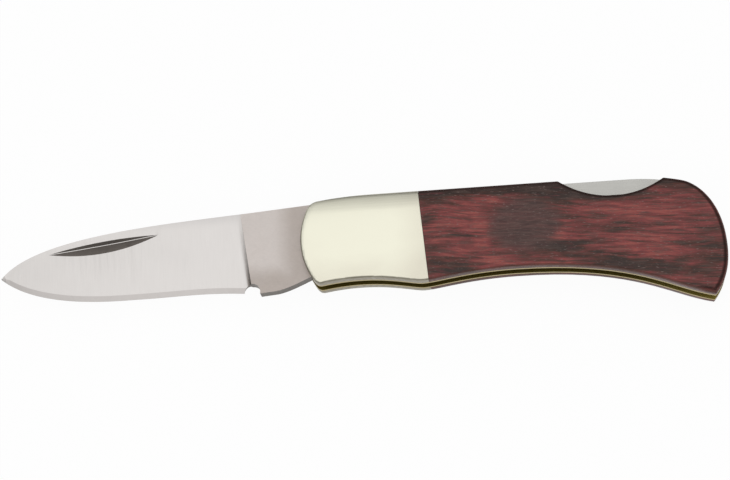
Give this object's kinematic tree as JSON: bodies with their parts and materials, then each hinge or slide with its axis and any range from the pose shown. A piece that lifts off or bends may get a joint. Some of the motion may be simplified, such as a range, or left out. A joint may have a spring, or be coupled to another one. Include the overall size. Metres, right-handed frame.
{
  "type": "folding pocket knife",
  "caption": "Lockback folding knife, open: drop-point blade with a nail nick, metal bolsters, wood scales over brass liners, and a rocking lock bar under a thumb scallop.",
  "frame": {"origin": "on the blade pivot's axis, on the plane that the rear side lies on", "axes": "+X from the pivot to the butt, +Y from the pivot to the spine, +Z out of the side with the nail nick; the blade points to -X"},
  "size_m": [0.1314, 0.0227, 0.0072],
  "materials": {
    "blade_steel": "pale satin, ground full flat, with a narrow edge bevel",
    "bar_steel": "satin steel of the lock bar, spacer and pins",
    "spring_steel": "grey hardened spring steel",
    "nickel_silver": "polished nickel silver, slightly warm",
    "liner_brass": "dull brass, its edges ground flush",
    "laminated_wood": "dyed red and black laminated wood, semi-gloss"
  },
  "bodies": {
    "handle": {"pivot_pin": "bar_steel", "lock_bar_pin": "bar_steel", "lock_spring": "spring_steel", "rear_spacer": "bar_steel", "spacer_pin_1": "bar_steel", "spacer_pin_2": "bar_steel", "front_liner": "liner_brass", "rear_liner": "liner_brass", "front_bolster": "nickel_silver", "rear_bolster": "nickel_silver", "front_scale": "laminated_wood", "rear_scale": "laminated_wood", "front_bolster_rivet_1": "nickel_silver", "rear_bolster_rivet_1": "nickel_silver", "front_bolster_rivet_2": "nickel_silver", "rear_bolster_rivet_2": "nickel_silver"},
    "blade": {"blade": "blade_steel"},
    "lock_bar": {"lock_bar": "bar_steel"}
  },
  "joints": [
    {"name": "blade_pivot", "type": "hinge", "parent": "handle", "child": "blade", "pos_m": [0, 0, 0.0036], "axis": [0, 0, 1], "range_deg": [0, 170]},
    {"name": "lock_bar_rocker", "type": "hinge", "parent": "handle", "child": "lock_bar", "pos_m": [0.03, 0.00538, 0.0036], "axis": [0, 0, 1], "range_deg": [-3.5, 0], "stiffness_Nm_per_rad": 3, "springref_deg": 2.86, "deforming": ["lock_spring"]}
  ]
}
